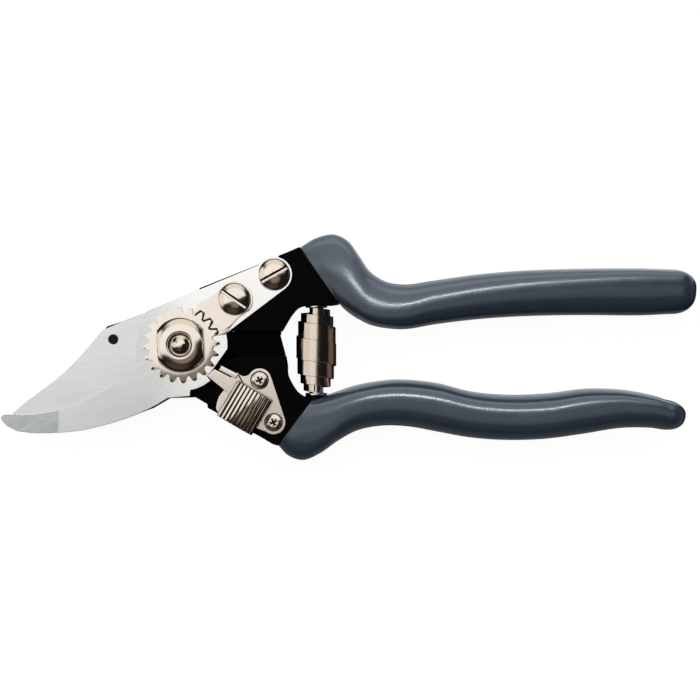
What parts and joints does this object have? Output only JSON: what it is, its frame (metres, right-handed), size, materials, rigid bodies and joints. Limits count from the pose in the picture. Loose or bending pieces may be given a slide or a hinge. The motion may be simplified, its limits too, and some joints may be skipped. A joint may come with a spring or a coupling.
{
  "type": "pruning shears",
  "caption": "Bypass pruning shears with a hooked counter-blade, a toothed pivot lock, a sliding catch, a volute spring and dipped grips",
  "frame": {"origin": "On the pivot axis, at the rear face of the pivot bolt's head, which is the plane that the closed shears rest on", "axes": "+Z is the pivot axis, from the bolt head towards the nut; +X points from the pivot along the handles; +Y points to the handle that carries the counter-blade"},
  "size_m": [0.2091, 0.0681, 0.0203],
  "materials": {
    "black_enamel": "semi-gloss black coating on forged aluminium",
    "slate_vinyl": "glossy dipped vinyl",
    "blade_steel": "satin ground along the blade",
    "bright_nickel": "polished warm nickel",
    "spring_steel": "bright nickel on spring steel",
    "black_oxide": "blackened steel",
    "black_rubber": "matte rubber",
    "bronze": "sintered bronze"
  },
  "bodies": {
    "upper_handle": {"upper_handle_core": "black_enamel", "upper_grip": "slate_vinyl", "counter_blade": "blade_steel", "toothed_washer": "bright_nickel", "toothed_segment": "bright_nickel", "segment_screw": "bright_nickel", "tang_screw": "bright_nickel", "pivot_bolt": "bright_nickel", "pivot_nut": "bright_nickel", "upper_spring_stud": "bright_nickel", "volute_spring": "spring_steel"},
    "lower_handle": {"lower_handle_core": "black_enamel", "lower_grip": "slate_vinyl", "cutting_blade": "blade_steel", "blade_rivet": "black_oxide", "pivot_bush": "bronze", "rubber_buffer": "black_rubber", "lower_spring_stud": "bright_nickel", "catch_plate": "bright_nickel", "catch_screw_upper": "bright_nickel", "catch_screw_lower": "bright_nickel", "catch_leaf_spring": "spring_steel"},
    "catch": {"catch_tongue": "bright_nickel", "catch_button": "bright_nickel", "catch_rivet": "bright_nickel"}
  },
  "joints": [
    {"name": "handle_pivot", "type": "hinge", "parent": "upper_handle", "child": "lower_handle", "pos_m": [0, 0, 0.01], "axis": [0, 0, -1], "range_deg": [0, 35], "deforming": ["volute_spring"]},
    {"name": "catch_slide", "type": "slide", "parent": "lower_handle", "child": "catch", "axis": [0.8607, -0.509, 0], "range_m": [0, 0.0024]}
  ]
}
